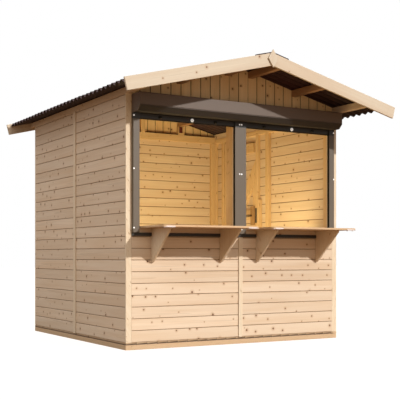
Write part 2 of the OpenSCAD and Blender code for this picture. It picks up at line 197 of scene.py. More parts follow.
def woodPaint(name, tone, grain=None):
    # grain names the frame's axes along, across and through the piece; boards carry their own
    paint = Paint(name, Specular_IOR_Level=0.35)
    look = {part: fromHex(code) for part, code in zip(toneParts, woodTones[tone])}
    if grain:
        axes = dict(zip("xyz", paint.parts(paint.here())))
        place = paint.join(*[axes[axis] for axis in grain])
        mood = paint.noise(place * (0.05, 1.7, 1.7), 1.0, 0.0, output="Color")  # from where it lies
    else:
        place = paint.attribute("grain")
        mood = paint.attribute("mood")
        groove = paint.attribute("groove", "Fac")
    along, across, depth = paint.parts(place)
    moods = paint.parts(mood)
    spot = place + mood * 37.0  # the same wood never shows twice

    # knots, some cells only
    cell = softwood["knotCell"]
    knotPlace = spot * (1 / cell, 1 / cell, 1 / cell)
    wobble = paint.noise(spot, 60.0, 1.0) * softwood["knotWobble"]
    distance = paint.cells(knotPlace) * cell + wobble
    luck = paint.parts(paint.cells(knotPlace, "Color"))
    size = luck[1] * softwood["knotSpread"] + softwood["knotSize"]
    present = luck[0] < softwood["clearTones"].get(tone, softwood["knotShare"])
    inside, outside = softwood["knotEdge"]
    knot = present * paint.ease(distance, size - inside, size + outside, 1.0, 0.0)
    halo = present * paint.ease(distance, size * 0.6, size * softwood["haloReach"], 1.0, 0.0)

    # growth rings round a pith within 5 cm of the board's middle and 2 to 7 cm under its face
    sway = paint.noise(spot * softwood["swayScale"], 1.0, 1.0)
    pithAcross = across + moods[0] * 0.1 - 0.05 + sway * 0.06
    pithDepth = depth + moods[1] * 0.05 + 0.02
    radius = (pithAcross * pithAcross + pithDepth * pithDepth) ** 0.5
    radius = radius + along * 0.004 + halo * 0.009
    radius = radius + paint.noise(spot * softwood["ringScale"], 1.0) * 0.003
    ring = paint.node("Math", {"operation": "FRACT"}, {0: radius * (1 / softwood["ringWidth"])})
    late = ring ** 3.0

    streak = paint.noise(spot * softwood["streakScale"], 1.0, 3.0, 0.6)
    patch = paint.noise(spot * softwood["patchScale"], 1.0, 1.0)
    fibre = paint.noise(spot * softwood["fibreScale"], 1.0, 2.0)
    share = paint.ease(streak * 0.6 + patch * 0.4, 0.3, 0.72) * softwood["streakShade"]
    colour = paint.mix(share, look["pale"], look["deep"])
    spread = softwood["boardSpread"]
    light = (moods[2] * spread + (1 - spread * 0.5)) * (1 - late * softwood["ringShade"])
    light = light * paint.shade(fibre, 0.96, 1.03)
    colour = paint.mix(1.0, colour, paint.join(light, light, light), "MULTIPLY")
    colour = paint.mix(halo * softwood["haloShade"], colour, look["halo"])
    colour = paint.mix(knot * softwood["knotShade"], colour, look["knot"])
    if not grain:
        colour = paint.mix(groove * softwood["grooveShade"], colour, look["groove"])
    paint.colour(colour)
    paint.rough(fibre * 0.16 + knot * -0.12 + 0.5)
    paint.relief(late * 0.5 + fibre * 0.35 + knot * 0.6, softwood["relief"], 0.0006)
    return paint


coated = {
    "shutter": {"colour": "#604f42", "worn": "#6b594a", "roughness": 0.46},
    "rail": {"colour": "#5e5243", "worn": "#6a5d4e", "roughness": 0.42},
    # painted shade: the dark coat is the rail coat as it looks in shade; it colours the guide tops and the
    # bottom slats under the box, and also the sill bar and the lock keep
    "dark": {"colour": "#2b2a28", "worn": "#3c3a37", "roughness": 0.38},
}


def coatedPaint(name, tone):
    # powder coat, with its fine orange peel and faint handling marks
    look = coated[tone]
    paint = Paint(name, Metallic=0.0, Specular_IOR_Level=0.5)
    here = paint.here()
    cloud = paint.noise(here, 5.0, 3.0)
    scuff = paint.ease(paint.noise(here * (4.0, 40.0, 60.0), 1.0, 4.0, 0.7), 0.62, 0.74)
    peel = paint.noise(here, 700.0, 2.0)
    colour = paint.mix(cloud * 0.35 + scuff * 0.3, fromHex(look["colour"]), fromHex(look["worn"]))
    # painted shade: where a piece marks its corners, the coat turns near black and rougher, as under the
    # shutter box
    paintedShade = paint.attribute("groove", "Fac")
    colour = paint.mix(paintedShade * 0.8, colour, fromHex("#0f0d0b"))
    paint.colour(paint.mix(peel * 0.12, colour, fromHex("#151413")))
    paint.rough(look["roughness"] + cloud * 0.08 + scuff * 0.12 + paintedShade * 0.4)
    paint.relief(peel + scuff * 0.4, 0.12, 0.0004)
    return paint


bitumen = {"colour": "#421c20", "dark": "#1c0d0e", "fleck": "#7a4c4a", "dust": "#6a5450",
           "eaveShade": "#0b0606", "roughness": 0.6}


def bitumenPaint(name):
    # fibre sheet soaked in bitumen, mottled, with dust in its valleys
    paint = Paint(name, Specular_IOR_Level=0.3)
    here = paint.here()
    valley = paint.attribute("groove", "Fac")
    cloud = paint.noise(here * (2.0, 7.0, 2.0), 1.0, 4.0, 0.6)
    fibres = paint.noise(here * (60.0, 220.0, 60.0), 1.0, 3.0, 0.7)
    grit = paint.noise(here, 520.0, 2.0)
    colour = paint.mix(cloud, fromHex(bitumen["dark"]), fromHex(bitumen["colour"]))
    colour = paint.mix(paint.ease(fibres, 0.56, 0.74) * 0.5, colour, fromHex(bitumen["fleck"]))
    # painted shade: the sheets turn near black towards the eave, fully underneath and half on top, as if in
    # the overhang's shade
    colour = paint.mix(paint.attribute("eaveShade", "Fac") * 0.8, colour, fromHex(bitumen["eaveShade"]))
    paint.colour(paint.mix(valley * 0.2, colour, fromHex(bitumen["dust"])))
    paint.rough(bitumen["roughness"] + grit * 0.14 - cloud * 0.1)
    paint.relief(grit * 0.6 + fibres * 0.6, 0.5, 0.0012)
    return paint


def zincPaint(name, tone, roughness, spangle=0.012, metallic=1.0):
    # zinc plated steel with its faint crystals
    paint = Paint(name, Metallic=metallic)
    here = paint.here()
    crystal = paint.parts(paint.cells(here, "Color", 1 / spangle, False))[0]
    stain = paint.noise(here, 30.0, 3.0)
    light = paint.shade(crystal * 0.5 + stain * 0.5, 0.82, 1.06)
    paint.colour(paint.mix(1.0, fromHex(tone), paint.join(light, light, light), "MULTIPLY"))
    paint.rough(roughness + crystal * 0.08 + stain * 0.1)
    paint.relief(stain, 0.08, 0.0005)
    return paint


def rubberPaint(name, tone):
    paint = Paint(name, Specular_IOR_Level=0.3)
    here = paint.here()
    bloom = paint.noise(here, 45.0, 3.0)
    grain = paint.noise(here, 900.0, 1.0)
    paint.colour(paint.mix(bloom * 0.35, fromHex(tone), fromHex("#33302d")))
    paint.rough(bloom * 0.15 + 0.62)
    paint.relief(grain, 0.2, 0.0004)
    return paint


def pilePaint(name):
    # brush pile in the shutter guides
    paint = Paint(name, Specular_IOR_Level=0.15)
    hair = paint.noise(paint.here() * (900.0, 900.0, 60.0), 1.0, 1.0)
    paint.colour(paint.mix(hair, fromHex("#050505"), fromHex("#1c1b1a")))
    paint.rough(hair * 0.1 + 0.85)
    paint.relief(hair, 0.6, 0.001)
    return paint


wallBoardPaint = woodPaint("wallBoardWood", "wall")
trimBoardPaint = woodPaint("trimBoardWood", "trim")
bargeBoardPaint = woodPaint("bargeBoardWood", "barge")
litGableBoardPaint = woodPaint("gableWoodPaintedLight", "gable")
counterBoardPaint = woodPaint("counterBoardWood", "counter")
floorBoardPaint = woodPaint("floorBoardWood", "floor")
shutterPaint = coatedPaint("shutterCoat", "shutter")
railPaint = coatedPaint("railCoat", "rail")
darkAndShadedPaint = coatedPaint("darkAndShadedCoat", "dark")
roofPaint = bitumenPaint("roofBitumen")
zincSteelPaint = zincPaint("zincSteel", "#c9c8c4", 0.34)
glowingSteelPaint = zincPaint("glowingSteel", "#f6f5f1", 0.3, 0.05, 0.15)
glowingSteelPaint.plug(glowingSteelPaint.surface.inputs["Emission Color"], (1.0, 1.0, 1.0))
glowingSteelPaint.plug(glowingSteelPaint.surface.inputs["Emission Strength"], 0.3)  # painted glow: the steel gives off a little light, so locks and screws show bright even in the box's shade
handlePaint = zincPaint("handleSteel", "#8d8377", 0.36, 0.05)
lockPaint = zincPaint("lockSteel", "#b08a5e", 0.5, 0.02, 0.2)
platePaint = zincPaint("plateZinc", "#d6c8c1", 0.45, 0.012, 0.2)
blackRubberPaint = rubberPaint("blackRubber", "#121110")
brushPaint = pilePaint("guideBrush")
print("finishes are mixed")

# mesh tools


class Lumber:
    # boards of one piece, gathered into one mesh; each corner knows its place in its own board
    def __init__(self, name):
        self.name = name
        self.points, self.faces = [], []
        self.grain, self.mood, self.groove = [], [], []

    def extrude(self, plane, outline, low, high, grain, turn=0.0, jointDarkAndShade=None, centre=None, mood=None):
        # the outline lies in the plane's two axes and is drawn out along the third; low and high are
        # numbers, or functions of the outline's first axis where an end is cut on a slope or notch;
        # the darkening map gives some of its corners a share of a dark colour: dark joints on boards,
        # painted shade on the shutter box
        jointDarkAndShade = jointDarkAndShade or {}
        first, second = ["xyz".index(axis) for axis in plane]
        third = 3 - first - second
        start = len(self.points)
        ends = []
        for end in (low, high):
            for a, b in outline:
                place = [0.0, 0.0, 0.0]
                place[first], place[second] = a, b
                place[third] = end(a) if callable(end) else end
                ends.append(place)
        if centre is None:
            centre = [sum(p[i] for p in ends) / len(ends) for i in range(3)]
        if mood is None:
            mood = tuple(chance.random() for i in range(3))
        along, across, through = ["xyz".index(axis) for axis in grain]
        cosTurn, sinTurn = math.cos(turn), math.sin(turn)
        for index, place in enumerate(ends):
            u, v = place[along] - centre[along], place[across] - centre[across]
            self.points.append(place)
            self.grain.append((u * cosTurn + v * sinTurn, v * cosTurn - u * sinTurn,
                               place[through] - centre[through]))
            self.mood.append(mood)
            self.groove.append(jointDarkAndShade.get(index % len(outline), 0.0))
        self.faces += prismFaces(start, len(outline))

    def make(self, paint, body, slotName, replaced=(), bevel=0.0, steps=1):
        made = meshObject(self.name, self.points, self.faces)
        addLayer(made, "grain", self.grain)
        addLayer(made, "mood", self.mood)
        addLayer(made, "groove", self.groove)
        dress(made, paint, body, replaced, bevel, steps)


def prismFaces(start, count):
    # both ends and the sides between them, of two outlines numbered from start
    faces = [[start + i for i in range(count)], [start + count + i for i in reversed(range(count))]]
    for i in range(count):
        j = (i + 1) % count
        faces.append([start + i, start + count + i, start + count + j, start + j])
    return faces


def addLayer(made, label, values):
    # a number or a vector at every corner, for the paints to read
    vector = isinstance(values[0], tuple)
    layer = made.data.attributes.new(label, "FLOAT_VECTOR" if vector else "FLOAT", "POINT")
    flat = [x for v in values for x in v] if vector else values
    layer.data.foreach_set("vector" if vector else "value", flat)


def meshObject(name, points, faces):
    mesh = bpy.data.meshes.new(name)
    mesh.from_pydata([tuple(p) for p in points], [], faces)
    work = bmesh.new()
    work.from_mesh(mesh)
    bmesh.ops.recalc_face_normals(work, faces=work.faces)
    work.to_mesh(mesh)
    work.free()
    made = bpy.data.objects.new(name, mesh)
    bpy.context.scene.collection.objects.link(made)
    return made


def dress(made, paint, body, replaced=(), bevel=0.0, steps=1):
    made.data.materials.append(paint.material)
    if bevel:
        easeEdges(made, bevel, steps)
    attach(made, body)
    if replaced:
        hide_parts(*replaced)


def easeEdges(made, width, steps=1):
    ease = made.modifiers.new("easedEdges", "BEVEL")
    ease.width = width
    ease.segments = steps
    ease.limit_method = "ANGLE"
    ease.angle_limit = math.radians(30)


def rectangle(a0, b0, a1, b1):
    return [(a0, b0), (a1, b0), (a1, b1), (a0, b1)]


def innerSide(node):
    # how far a mirrored pair of solids stays from the middle
    return min(abs(v.co.x) for v in nodes[node].data.vertices)


def turned(points, faces, profile, centre, axis, sides):
    # a round part: radius and height pairs along an axis, such as "x" or "-y"
    start = len(points)
    way = -1.0 if axis.startswith("-") else 1.0
    third = "xyz".index(axis[-1])
    first, second = [i for i in range(3) if i != third]
    for radius, height in profile:
        for i in range(sides):
            place = [0.0, 0.0, 0.0]
            place[first] = centre[first] + radius * math.cos(2 * math.pi * i / sides)
            place[second] = centre[second] + radius * math.sin(2 * math.pi * i / sides)
            place[third] = centre[third] + way * height
            points.append(place)
    for level in range(len(profile) - 1):
        low = start + level * sides
        for i in range(sides):
            j = (i + 1) % sides
            faces.append([low + i, low + j, low + sides + j, low + sides + i])
    faces.append([start + i for i in range(sides)])
    last = start + (len(profile) - 1) * sides
    faces.append([last + i for i in reversed(range(sides))])


def turnedPiece(name, profile, centres, axis, paint, body, replaced=(), sides=12):
    points, faces = [], []
    for centre in centres:
        turned(points, faces, profile, centre, axis, sides)
    dress(meshObject(name, points, faces), paint, body, replaced)


def islands(node):
    # low and high corners of a node's separate solids, found as its loose parts
    work = bmesh.new()
    work.from_mesh(nodes[node].data)
    bmesh.ops.remove_doubles(work, verts=work.verts, dist=tiny)
    left, found = set(work.verts), []
    while left:
        stack, seen = [left.pop()], []
        while stack:
            vert = stack.pop()
            seen.append(vert.co.copy())
            for edge in vert.link_edges:
                other = edge.other_vert(vert)
                if other in left:
                    left.discard(other)
                    stack.append(other)
        low = Vector([min(c[i] for c in seen) for i in range(3)])
        high = Vector([max(c[i] for c in seen) for i in range(3)])
        found.append((low, high))
    work.free()
    return sorted(found, key=lambda pair: tuple(round(x, 4) for x in pair[0] + pair[1]))


def faceCentres(node):
    # where round fittings of a node touch what is behind them
    return [((low.x + high.x) / 2, high.y, (low.z + high.z) / 2) for low, high in islands(node)]


board = {
    "cover": 0.0882, "gap": 0.0022, "chamfer": 0.0036, "eased": 0.003, "tongueIn": 0.0006,
    "tongueBack": 0.3, "tongueFace": 0.56, "least": 0.008, "seam": 0.002, "edgeDirt": 0.3,
}


def tongueBoard(low, high, back, face, tongue, lowEdge, highEdge, edgeDirt):
    # cross-section of a V-jointed board, across its width and through its thickness
    full = face - back
    gap = board["gap"] / 2
    chamfer = board["chamfer"]

    def deep(share):
        return back + full * share

    shoulder = 1 - chamfer / abs(full)
    eased = board["eased"]
    inward = back + math.copysign(eased, full)
    a = low + (gap if lowEdge else 0)
    b = high - (gap if highEdge else 0)
    section, jointDarkAndShade = [(a + eased, back), (b - eased, back), (b, inward)], {2: 1.0}
    if tongue and highEdge:
        tip = high + gap + board["tongueIn"]
        near, far = deep(board["tongueBack"]), deep(board["tongueFace"])
        jointDarkAndShade.update({i: 1.0 for i in range(3, 7)})
        section += [(b, near), (tip, near), (tip, far), (b, far)]
    if highEdge:
        jointDarkAndShade[len(section)] = edgeDirt
        section += [(b, deep(shoulder)), (b - chamfer, face)]
    else:
        section.append((b, face))
    if lowEdge:
        section.append((a + chamfer, face))
        jointDarkAndShade[len(section)] = edgeDirt
        section.append((a, deep(shoulder)))
    else:
        section.append((a, face))
    jointDarkAndShade[len(section)] = 1.0
    section.append((a, inward))
    return section, jointDarkAndShade


def layBoards(lumber, grain, run, stack, back, face, first):
    # boards run along the first axis of grain and are stacked along the second, from first on
    at = first
    while at < stack[1] - board["least"]:
        low, high = max(at, stack[0]), min(at + board["cover"], stack[1])
        if high - low > board["least"]:
            whole = high < stack[1] - tiny
            section, jointDarkAndShade = tongueBoard(low, high, back, face, whole, True, whole, board["edgeDirt"])
            lumber.extrude(grain[1:], section, run[0], run[1], grain, jointDarkAndShade=jointDarkAndShade)
        at += board["cover"]


# walls and floor

floorLow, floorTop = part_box("floor_deck")
wallFoot = floorTop.z
seam = board["seam"]
leftLow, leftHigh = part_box("left_wall_boards")
rightLow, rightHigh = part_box("right_wall_boards")
rearLow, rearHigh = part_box("rear_wall_boards")
frontLow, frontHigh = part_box("front_wall_boards")
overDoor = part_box("right_wall_over_door")

leftWall = Lumber("leftWallBoards")
for run in ((leftLow.y, -seam), (seam, leftHigh.y)):
    layBoards(leftWall, "yzx", run, (leftLow.z, leftHigh.z), leftHigh.x, leftLow.x, wallFoot)
leftWall.make(wallBoardPaint, "stall", "wall_wood", ["left_wall_boards"])

rightWall = Lumber("rightWallBoards")
for run in ((rightLow.y, -seam), (seam, overDoor[0].y), (overDoor[1].y, rightHigh.y)):
    layBoards(rightWall, "yzx", run, (rightLow.z, rightHigh.z), rightLow.x, rightHigh.x, wallFoot)
layBoards(rightWall, "yzx", (overDoor[0].y, overDoor[1].y), (overDoor[0].z, overDoor[1].z),
          rightLow.x, rightHigh.x, wallFoot)
rightWall.make(wallBoardPaint, "stall", "wall_wood", ["right_wall_boards", "right_wall_over_door"])

rearWall = Lumber("rearWallBoards")
for run in ((rearLow.x, -seam), (seam, rearHigh.x)):
    layBoards(rearWall, "xzy", run, (rearLow.z, rearHigh.z), rearLow.y, rearHigh.y, wallFoot)
rearWall.make(wallBoardPaint, "stall", "wall_wood", ["rear_wall_boards"])

frontWall = Lumber("frontWallBoards")
for run in ((frontLow.x, -seam), (seam, frontHigh.x)):
    layBoards(frontWall, "xzy", run, (frontLow.z, frontHigh.z), frontHigh.y, frontLow.y, wallFoot)
frontWall.make(wallBoardPaint, "stall", "wall_wood", ["front_wall_boards"])

deck = Lumber("floorBoards")
layBoards(deck, "yxz", (floorLow.y, floorTop.y), (floorLow.x, floorTop.x), floorLow.z, floorTop.z,
          floorLow.x)
deck.make(floorBoardPaint, "stall", "floor_wood", ["floor_deck"])

# gables, boarded upright and notched over the purlins

gableFrontLow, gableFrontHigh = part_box("front_gable")
ridgeUnder = gableFrontHigh.z
roof = {
    "pitch": 14.0, "wave": 0.076, "waveHeight": 0.0225, "thickness": 0.0026,
    "steps": 12, "sheets": 3, "lap": 0.6, "lapLift": 0.002, "ridgeGap": 0.006, "eaveGap": 0.006,
    # painted shade at the eave: how far up it reaches and its share on the top face
    "eaveShadeReach": 0.23, "eaveShadeTop": 0.5, "sharpFrom": 35.0,
}
gable = {"grainUp": 0.2, "leastCut": 0.0015}
slope = math.tan(math.radians(roof["pitch"]))
purlinNotches = []
for name in ("ridge_purlins", "middle_purlins"):
    low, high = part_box(name)
    purlinNotches.append((innerSide(name), high.x, low.z))


def underRoof(x):
    return ridgeUnder - slope * abs(x)


def boardGable(name, back, face, foot, reach):
    # each board keeps its grain where a notch parts it
    lumber = Lumber(name)
    count = math.ceil(reach / board["cover"])
    for side in (-1, 1):
        for i in range(count):
            low, high = i * board["cover"], min((i + 1) * board["cover"], reach)
            cuts = sorted({low, high, *[x for n in purlinNotches for x in n[:2] if low < x < high]})
            centre = (side * (low + high) / 2, (back + face) / 2, foot + gable["grainUp"])
            mood = tuple(chance.random() for j in range(3))
            for a, b in zip(cuts, cuts[1:]):
                if b - a < gable["leastCut"]:
                    continue
                middle = (a + b) / 2
                notch = [n[2] for n in purlinNotches if n[0] <= middle <= n[1]]
                top = (lambda x, z=notch[0]: z) if notch else underRoof
                whole = high < reach - tiny
                section, jointDarkAndShade = tongueBoard(a, b, back, face, whole, a == low, b == high and whole, 1.0)
                section = [(side * x, y) for x, y in section]
                lumber.extrude("xy", section, foot, top, "zxy", jointDarkAndShade=jointDarkAndShade, centre=centre, mood=mood)
    return lumber


frontGable = boardGable("frontGableBoards", gableFrontHigh.y, gableFrontLow.y, gableFrontLow.z,
                        gableFrontHigh.x)
frontGable.make(litGableBoardPaint, "stall", "gable_wood", ["front_gable"])
gableRearLow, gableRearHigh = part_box("rear_gable")
rearGable = boardGable("rearGableBoards", gableRearLow.y, gableRearHigh.y, gableRearLow.z, gableRearHigh.x)
rearGable.make(litGableBoardPaint, "stall", "gable_wood", ["rear_gable"])
print("walls, floor and gables are boarded")

# roof: corrugated sheets that lap by a wave, ridge pieces, nail caps on the crests

sheetLow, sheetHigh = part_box("roof_sheets")
cosPitch, sinPitch = math.cos(math.radians(roof["pitch"])), math.sin(math.radians(roof["pitch"]))


def roofPoint(side, down, y, lift):
    # down the slope from the ridge, and lift square to it
    x = down * cosPitch + lift * sinPitch
    return (side * x, y, ridgeUnder - down * sinPitch + lift * cosPitch)


def waveRise(y):
    return roof["waveHeight"] * (1 - math.cos(2 * math.pi * (y - sheetLow.y) / roof["wave"])) / 2


def corrugatedRoof():
    points, faces, valley, eaveShade = [], [], [], []
    waves = (sheetHigh.y - sheetLow.y) / roof["wave"]
    share = math.ceil(waves / roof["sheets"])
    foot = sheetHigh.x / cosPitch - roof["eaveGap"]
    for side in (-1, 1):
        for index in range(roof["sheets"]):
            y0 = sheetLow.y + max(0, index * share - roof["lap"]) * roof["wave"]
            y1 = min(sheetHigh.y, sheetLow.y + ((index + 1) * share + roof["lap"]) * roof["wave"])
            lift = roof["lapLift"] * (index % 2)
            count = round((y1 - y0) / roof["wave"] * roof["steps"])
            start = len(points)
            # painted shade marks the last stretch before the eave
            downs = {roof["ridgeGap"]: 0.0, foot * 0.5: 0.0, foot - roof["eaveShadeReach"]: 1.0, foot: 1.0}
            for i in range(count + 1):
                y = y0 + (y1 - y0) * i / count
                rise = waveRise(y) + lift
                for down, shadeHere in downs.items():
                    for height, layerShade in ((rise, 1.0), (rise + roof["thickness"], roof["eaveShadeTop"])):
                        points.append(roofPoint(side, down, y, height))
                        valley.append(1 - waveRise(y) / roof["waveHeight"])
                        eaveShade.append(shadeHere * layerShade)
            row = 2 * len(downs)
            for i in range(count):
                a, b = start + i * row, start + (i + 1) * row
                for k in range(len(downs) - 1):
                    for layer in (0, 1):
                        p = 2 * k + layer
                        faces.append([a + p, b + p, b + p + 2, a + p + 2])
                for k in (0, row - 2):
                    faces.append([a + k, b + k, b + k + 1, a + k + 1])
            for a in (start, start + count * row):
                for k in range(len(downs) - 1):
                    faces.append([a + 2 * k, a + 2 * k + 1, a + 2 * k + 3, a + 2 * k + 2])
    made = meshObject("roofSheets", points, faces)
    addLayer(made, "groove", valley)
    addLayer(made, "eaveShade", eaveShade)
    return made


roofSheets = corrugatedRoof()
roofSheets.data.shade_smooth()
roofSheets.data.set_sharp_from_angle(angle=math.radians(roof["sharpFrom"]))
dress(roofSheets, roofPaint, "stall", ["roof_sheets"])

capLow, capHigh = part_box("ridge_cap")
ridge = {
    "pieces": 3, "lap": 0.06, "thickness": 0.0016, "lapLift": 0.0015, "under": 0.003, "nose": 0.02,
    "crown": ((0.5, -0.0008), (0.0, -0.0012)), "roll": 0.0065, "rollLength": 0.014,
}


def ridgePieces():
    points, faces = [], []
    # folded along a softened crown, with a rolled end at the front and the back
    crest = capHigh.z - ridge["under"] / cosPitch
    length = (capHigh.y - capLow.y + ridge["lap"] * (ridge["pieces"] - 1)) / ridge["pieces"]
    half = [(capHigh.x, 0.0), (ridge["nose"], 0.0)]
    half += [(ridge["nose"] * share, drop) for share, drop in ridge["crown"]]
    runs = [(capLow.y + i * (length - ridge["lap"]), length, ridge["lapLift"] * (i % 2), ridge["thickness"])
            for i in range(ridge["pieces"])]
    for end in (capLow.y, capHigh.y - ridge["rollLength"]):
        runs.append((end, ridge["rollLength"], 0.0, ridge["roll"]))
    for y0, reach, lift, thickness in runs:
        line = [(-x, crest - slope * x + d + lift) for x, d in half]
        line += [(x, crest - slope * x + d + lift) for x, d in reversed(half[:-1])]
        outline = line + [(x, z + thickness) for x, z in reversed(line)]
        start = len(points)
        for y in (y0, y0 + reach):
            points.extend((x, y, z) for x, z in outline)
        faces += prismFaces(start, len(outline))
    return meshObject("ridgeCap", points, faces)


dress(ridgePieces(), roofPaint, "stall", ["ridge_cap"])

capNail = {
    "every": 2, "sunk": 0.001,  # in waves, and into the crest
    "profile": [(0.0105, 0.0), (0.0105, 0.0018), (0.0085, 0.0038), (0.004, 0.005), (0.0004, 0.0052)],
}
nailCaps = []
crestCount = int((sheetHigh.y - sheetLow.y) / roof["wave"])
for name in ("middle_purlins", "eave_purlins"):
    middle = (innerSide(name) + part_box(name)[1].x) / 2
    top = underRoof(middle) + (roof["waveHeight"] + roof["thickness"] - capNail["sunk"]) / cosPitch
    for i in range(0, crestCount, capNail["every"]):
        y = sheetLow.y + (i + 0.5) * roof["wave"]
        nailCaps += [(-middle, y, top), (middle, y, top)]
turnedPiece("roofNailCaps", capNail["profile"], nailCaps, "z", roofPaint, "stall", sides=10)

# barge boards and apex plates

barge = {"width": 0.095, "bevel": 0.0025, "joint": 0.001, "plateBevel": 0.003}


def bargeBoards(name, node):
    low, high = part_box(node)
    lumber = Lumber(name)
    near, end = barge["joint"], high.x - barge["width"] * sinPitch
    tail = high.z - slope * (high.x - near)
    for side in (-1, 1):
        outline = [
            (side * near, high.z), (side * high.x, tail), (side * end, tail - barge["width"] * cosPitch),
            (side * near, high.z - barge["width"] / cosPitch),
        ]
        turn = -side * math.radians(roof["pitch"])
        lumber.extrude("xz", outline, low.y, high.y, "xzy", turn)
    lumber.make(bargeBoardPaint, "stall", "trim_wood", [node], barge["bevel"], 2)


bargeBoards("frontBargeBoards", "front_barge_boards")
bargeBoards("rearBargeBoards", "rear_barge_boards")

plateLow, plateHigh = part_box("apex_plates")
apex = Lumber("apexPlates")
apexMiddle = (plateLow.z + plateHigh.z) / 2
diamond = [(0, plateLow.z), (plateHigh.x, apexMiddle), (0, plateHigh.z), (plateLow.x, apexMiddle)]
bargeFront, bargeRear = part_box("front_barge_boards")[0].y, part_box("rear_barge_boards")[1].y
apex.extrude("xz", diamond, plateLow.y, bargeFront, "zxy")
apex.extrude("xz", diamond, bargeRear, plateHigh.y, "zxy")
apex.make(bargeBoardPaint, "stall", "trim_wood", ["apex_plates"], barge["plateBevel"], 2)
print("the roof is on")

# shutter box, guides, bottom slats and their fittings

boxLow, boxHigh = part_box("shutter_box")
box = {"slope": 0.037, "grooveUp": 0.006, "groove": 0.0024, "topEdge": 0.004, "bevel": 0.0008}
# the front cover and the sloped cover meet in a fine groove
shutterBox = Lumber("shutterBox")
y0, y1, z0, z1 = boxLow.y, boxHigh.y, boxLow.z, boxHigh.z
knee, edge, fine = z0 + box["slope"], box["topEdge"], box["groove"]
up = knee + box["grooveUp"]
outline = [
    (y1, z0), (y1, z1), (y0 + edge, z1), (y0, z1 - edge), (y0, up + fine), (y0 + fine, up + fine),
    (y0 + fine, up), (y0, up), (y0, knee), (y0 + box["slope"], z0),
]
# painted shade: the fine groove, the sloped cover and the underside are marked to darken
shutterBox.extrude("yz", outline, boxLow.x, boxHigh.x, "xzy", jointDarkAndShade=dict.fromkeys((0, 5, 6, 8, 9), 1.0))
shutterBox.make(shutterPaint, "stall", "shutter_metal", ["shutter_box"], box["bevel"], 2)

railLow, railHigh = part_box("guide_rails")
guide = {
    "width": 0.052, "middle": 0.053, "lip": 0.004, "backLip": 0.006, "slot": 0.024, "shadedTop": 0.047,
    "pile": 0.0075, "backPile": 0.0115, "pileIn": 0.0015, "bevel": 0.0012, "shadedTopBevel": 0.0006,
}
# painted shade: the top of each guide is a separate piece in the dark coat, standing in for the box's
# shadow on the guides
shadedTopFoot = railHigh.z - guide["shadedTop"]
slotFront, slotRear = railLow.y + guide["lip"], railHigh.y - guide["backLip"]
rails = Lumber("guideRails")
shadedGuideTops = Lumber("guideTopsInShade")
brushes = Lumber("guideBrushes")


def mouthLine(mouth, way):
    # the slot at one side of a guide, from its front lip to its back lip
    inside = mouth - way * guide["slot"]
    return [(mouth, railLow.y), (mouth, slotFront), (inside, slotFront), (inside, slotRear),
            (mouth, slotRear), (mouth, railHigh.y)]


leftMouth, rightMouth = railLow.x + guide["width"], railHigh.x - guide["width"]
guideSections = (
    [(railLow.x, railHigh.y), (railLow.x, railLow.y)] + mouthLine(leftMouth, 1),
    mouthLine(guide["middle"], 1) + mouthLine(-guide["middle"], -1)[::-1],
    [(railHigh.x, railHigh.y), (railHigh.x, railLow.y)] + mouthLine(rightMouth, -1),
)
for section in guideSections:
    rails.extrude("xy", section, railLow.z, shadedTopFoot, "zxy")
    shadedGuideTops.extrude("xy", section, shadedTopFoot, railHigh.z, "zxy")
for mouth, way in ((leftMouth, 1), (-guide["middle"], -1), (guide["middle"], 1), (rightMouth, -1)):
    inside, edge = mouth - way * guide["slot"], mouth - way * guide["pileIn"]
    for a, b in ((slotFront, slotFront + guide["pile"]), (slotRear - guide["backPile"], slotRear)):
        brushes.extrude("xy", rectangle(inside, a, edge, b), railLow.z, shadedTopFoot, "zxy")
rails.make(railPaint, "stall", "guide_metal", ["guide_rails"], guide["bevel"], 2)
shadedGuideTops.make(darkAndShadedPaint, "stall", "dark_metal", bevel=guide["shadedTopBevel"])
brushes.make(brushPaint, "stall", "rubber")

slatLow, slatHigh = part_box("shutter_bottom_slats")
slat = {
    "middle": 0.054, "seal": 0.008, "sealShort": 0.002, "bevel": 0.0006,
    # the face's corners, as depth behind the front and distance from the top, then from the foot
    "top": [(0.003, 0.0), (0.0, 0.004), (0.0, 0.013), (0.0015, 0.0145), (0.0, 0.016)],
    "foot": [(0.0, 0.007), (0.0, 0.0045), (0.001, 0.0)],
    # the seal's, from its own foot
    "sealFront": [(0.0025, 0.008), (0.0035, 0.0015), (0.006, 0.0)],
    "sealBack": [(0.004, 0.0015), (0.0025, 0.008)],
}
slats = Lumber("shutterBottomSlats")
seals = Lumber("shutterSeals")
slatFront, slatBack, slatTop = slatLow.y, slatHigh.y, slatHigh.z
slatFoot = slatLow.z + slat["seal"]
section = [(slatBack, slatFoot), (slatBack, slatTop)]
section += [(slatFront + depth, slatTop - down) for depth, down in slat["top"]]
section += [(slatFront + depth, slatFoot + up) for depth, up in slat["foot"]]
lip = [(slatFront + depth, slatLow.z + up) for depth, up in slat["sealFront"]]
lip += [(slatBack - depth, slatLow.z + up) for depth, up in slat["sealBack"]]
for low, high in ((slatLow.x, -slat["middle"]), (slat["middle"], slatHigh.x)):
    slats.extrude("yz", section, low, high, "xzy")
    seals.extrude("yz", lip, low + slat["sealShort"], high - slat["sealShort"], "xzy")
# painted shade: the bottom slats take the dark coat, as they sit in the shade under the box
slats.make(darkAndShadedPaint, "stall", "dark_metal", ["shutter_bottom_slats"], slat["bevel"])
seals.make(blackRubberPaint, "stall", "rubber")

